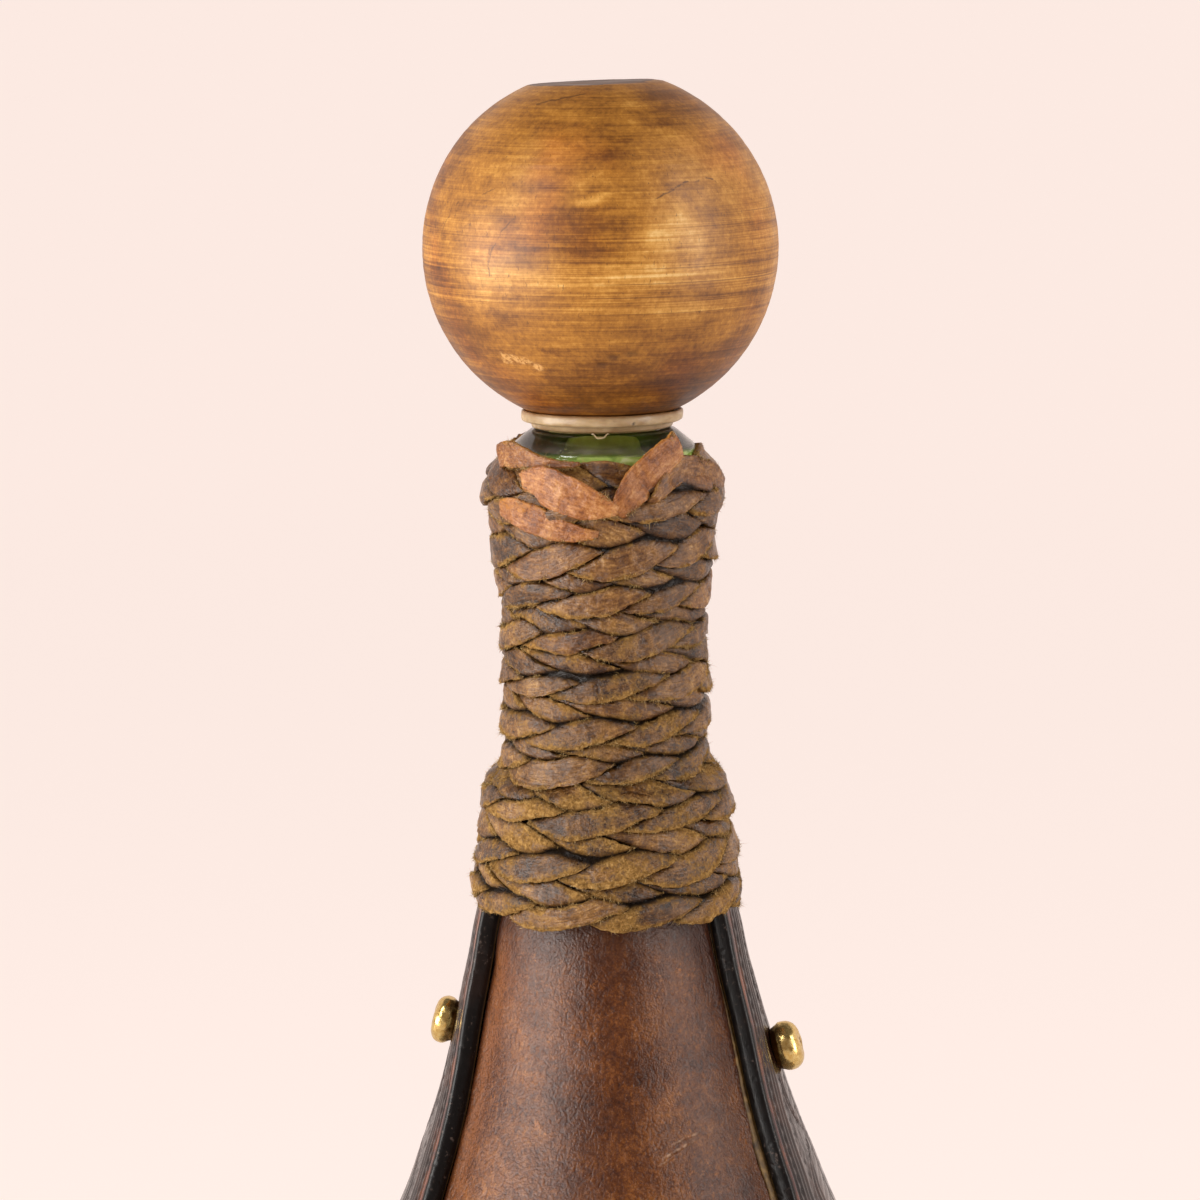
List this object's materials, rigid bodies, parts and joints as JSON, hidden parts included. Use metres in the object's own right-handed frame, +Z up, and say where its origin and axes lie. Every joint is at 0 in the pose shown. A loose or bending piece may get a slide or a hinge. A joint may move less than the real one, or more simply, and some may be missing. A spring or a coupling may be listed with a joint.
{
  "type": "leather-covered carafe",
  "caption": "Glass carafe covered in leather, with a braided leather neck, tooled side straps with brass studs, and a wooden ball stopper that lifts out.",
  "frame": {"origin": "middle of the flat leather base, on the surface the carafe stands on", "axes": "+Z up along the bottle's axis, towards the stopper; -Y is the front cover, +X and -X are the side straps"},
  "size_m": [0.1418, 0.1246, 0.346],
  "materials": {
    "green_glass": "clear green bottle glass, polished",
    "brown_leather": "aged reddish brown hide, satin, fine cracked grain",
    "tooled_leather": "thick tooled strap, glossy dark face, painted black edges",
    "base_leather": "plain sole leather, matt",
    "lace_leather": "brown lace with fuzzy ochre edges",
    "aged_brass": "aged, part polished",
    "stained_wood": "turned, blotchy honey and brown stain, satin",
    "bare_wood": "unfinished dowel",
    "cream_plastic": "yellowed translucent moulding"
  },
  "bodies": {
    "bottle": {"glass_bottle": "green_glass", "front_cover": "brown_leather", "back_cover": "brown_leather", "left_strap": "tooled_leather", "right_strap": "tooled_leather", "base_disc": "base_leather", "lace_1": "lace_leather", "lace_2": "lace_leather", "lace_3": "lace_leather", "stud_left_1": "aged_brass", "stud_left_2": "aged_brass", "stud_left_3": "aged_brass", "stud_left_4": "aged_brass", "stud_right_1": "aged_brass", "stud_right_2": "aged_brass", "stud_right_3": "aged_brass", "stud_right_4": "aged_brass"},
    "stopper_core": {"stopper_dowel": "bare_wood"},
    "stopper": {"stopper_ball": "stained_wood", "stopper_plug": "cream_plastic"}
  },
  "joints": [
    {"name": "stopper_lift", "type": "slide", "parent": "bottle", "child": "stopper_core", "axis": [0, 0, 1], "range_m": [0, 0.05]},
    {"name": "stopper_twist", "type": "hinge", "parent": "stopper_core", "child": "stopper", "pos_m": [0, 0, 0.2885], "axis": [0, 0, 1], "continuous": true}
  ]
}
